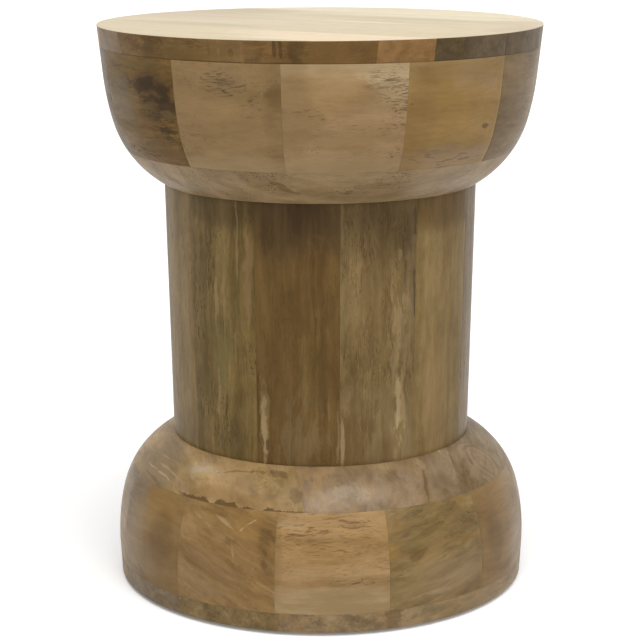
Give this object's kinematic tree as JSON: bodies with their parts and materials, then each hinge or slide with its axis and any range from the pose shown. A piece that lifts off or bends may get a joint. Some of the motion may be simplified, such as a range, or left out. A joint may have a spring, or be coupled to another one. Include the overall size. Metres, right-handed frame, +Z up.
{
  "type": "side table",
  "caption": "Round pedestal side table of turned solid wood: a bowl-shaped head with a flat top, a staved column and a rounded base, glued up from blocks and planks.",
  "frame": {"origin": "middle of the underside, on the floor under the felt pads", "axes": "+Z up along the turning axis; -Y is the front"},
  "size_m": [0.357, 0.357, 0.457],
  "materials": {
    "top_wood": "pale satin wood",
    "bowl_wood": "satin honey wood",
    "column_wood": "satin brown wood",
    "base_wood": "satin honey wood",
    "inner_wood": "unfinished wood",
    "screw_steel": "plain steel",
    "pad_felt": "dark felt"
  },
  "bodies": {
    "root": {"top_plank_1": "top_wood", "top_plank_2": "top_wood", "top_plank_3": "top_wood", "top_plank_4": "top_wood", "top_plank_5": "top_wood", "top_plank_6": "top_wood", "top_plank_7": "top_wood", "bowl_block_01": "bowl_wood", "bowl_block_02": "bowl_wood", "bowl_block_03": "bowl_wood", "bowl_block_04": "bowl_wood", "bowl_block_05": "bowl_wood", "bowl_block_06": "bowl_wood", "bowl_block_07": "bowl_wood", "bowl_block_08": "bowl_wood", "bowl_block_09": "bowl_wood", "bowl_block_10": "bowl_wood", "bowl_block_11": "bowl_wood", "bowl_block_12": "bowl_wood", "bowl_floor_plank_1": "bowl_wood", "bowl_floor_plank_2": "bowl_wood", "bowl_floor_plank_3": "bowl_wood", "bowl_floor_plank_4": "bowl_wood", "column_stave_01": "column_wood", "column_stave_02": "column_wood", "column_stave_03": "column_wood", "column_stave_04": "column_wood", "column_stave_05": "column_wood", "column_stave_06": "column_wood", "column_stave_07": "column_wood", "column_stave_08": "column_wood", "column_stave_09": "column_wood", "column_stave_10": "column_wood", "column_stave_11": "column_wood", "column_stave_12": "column_wood", "column_head_plug": "inner_wood", "column_foot_plug": "inner_wood", "head_screws": "screw_steel", "foot_screws": "screw_steel", "crown_plank_1": "base_wood", "crown_plank_2": "base_wood", "crown_plank_3": "base_wood", "crown_plank_4": "base_wood", "base_block_01": "base_wood", "base_block_02": "base_wood", "base_block_03": "base_wood", "base_block_04": "base_wood", "base_block_05": "base_wood", "base_block_06": "base_wood", "base_block_07": "base_wood", "base_block_08": "base_wood", "base_block_09": "base_wood", "base_block_10": "base_wood", "base_block_11": "base_wood", "base_block_12": "base_wood", "base_plate_plank_1": "base_wood", "base_plate_plank_2": "base_wood", "base_plate_plank_3": "base_wood", "base_plate_plank_4": "base_wood", "floor_pads": "pad_felt"}
  },
  "joints": []
}
